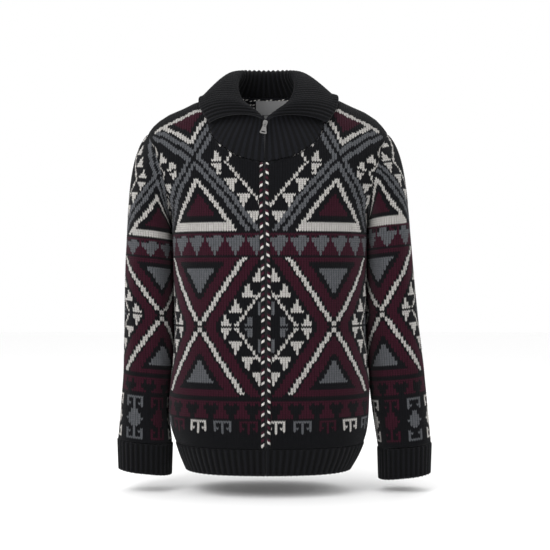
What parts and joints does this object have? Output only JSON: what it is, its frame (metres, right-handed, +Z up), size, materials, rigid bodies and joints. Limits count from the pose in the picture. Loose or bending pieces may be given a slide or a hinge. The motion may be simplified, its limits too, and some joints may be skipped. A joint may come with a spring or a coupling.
{
  "type": "zip cardigan",
  "caption": "Chunky knitted zip cardigan, filled out as worn, with a ribbed fold-over collar, ribbed cuffs and hem, a geometric jacquard pattern and a swinging zip pull.",
  "frame": {"origin": "the middle of the line between the two neck points, where the shoulder seams meet the collar and the wearer's shoulders hold the garment", "axes": "+Z up, +X towards the wearer's left sleeve, the zipped front faces -Y"},
  "size_m": [0.584, 0.2615, 0.7759],
  "materials": {
    "patterned_knit": "chunky wool jacquard",
    "black_rib": "chunky wool rib",
    "marled_edge": "marled crochet chain",
    "zip_tape": "woven polyester",
    "nickel": "satin nickel plate",
    "label_satin": "satin ribbon"
  },
  "bodies": {
    "garment": {"front_left": "patterned_knit", "front_right": "patterned_knit", "back": "patterned_knit", "sleeve_left": "patterned_knit", "sleeve_right": "patterned_knit", "cuff_left": "black_rib", "cuff_right": "black_rib", "hem_front_left": "black_rib", "hem_front_right": "black_rib", "hem_back": "black_rib", "collar": "black_rib", "zip_edge_left": "marled_edge", "zip_edge_right": "marled_edge", "zip_tape_left": "zip_tape", "zip_tape_right": "zip_tape", "zip_slider": "nickel", "neck_label": "label_satin", "size_label": "label_satin"},
    "pull_tab": {"zip_pull": "nickel"}
  },
  "joints": [
    {"name": "pull_swing", "type": "hinge", "parent": "garment", "child": "pull_tab", "pos_m": [-0.0016, -0.1187, -0.064], "axis": [-0.9801, 0, 0.1987], "range_deg": [0, 150]}
  ]
}
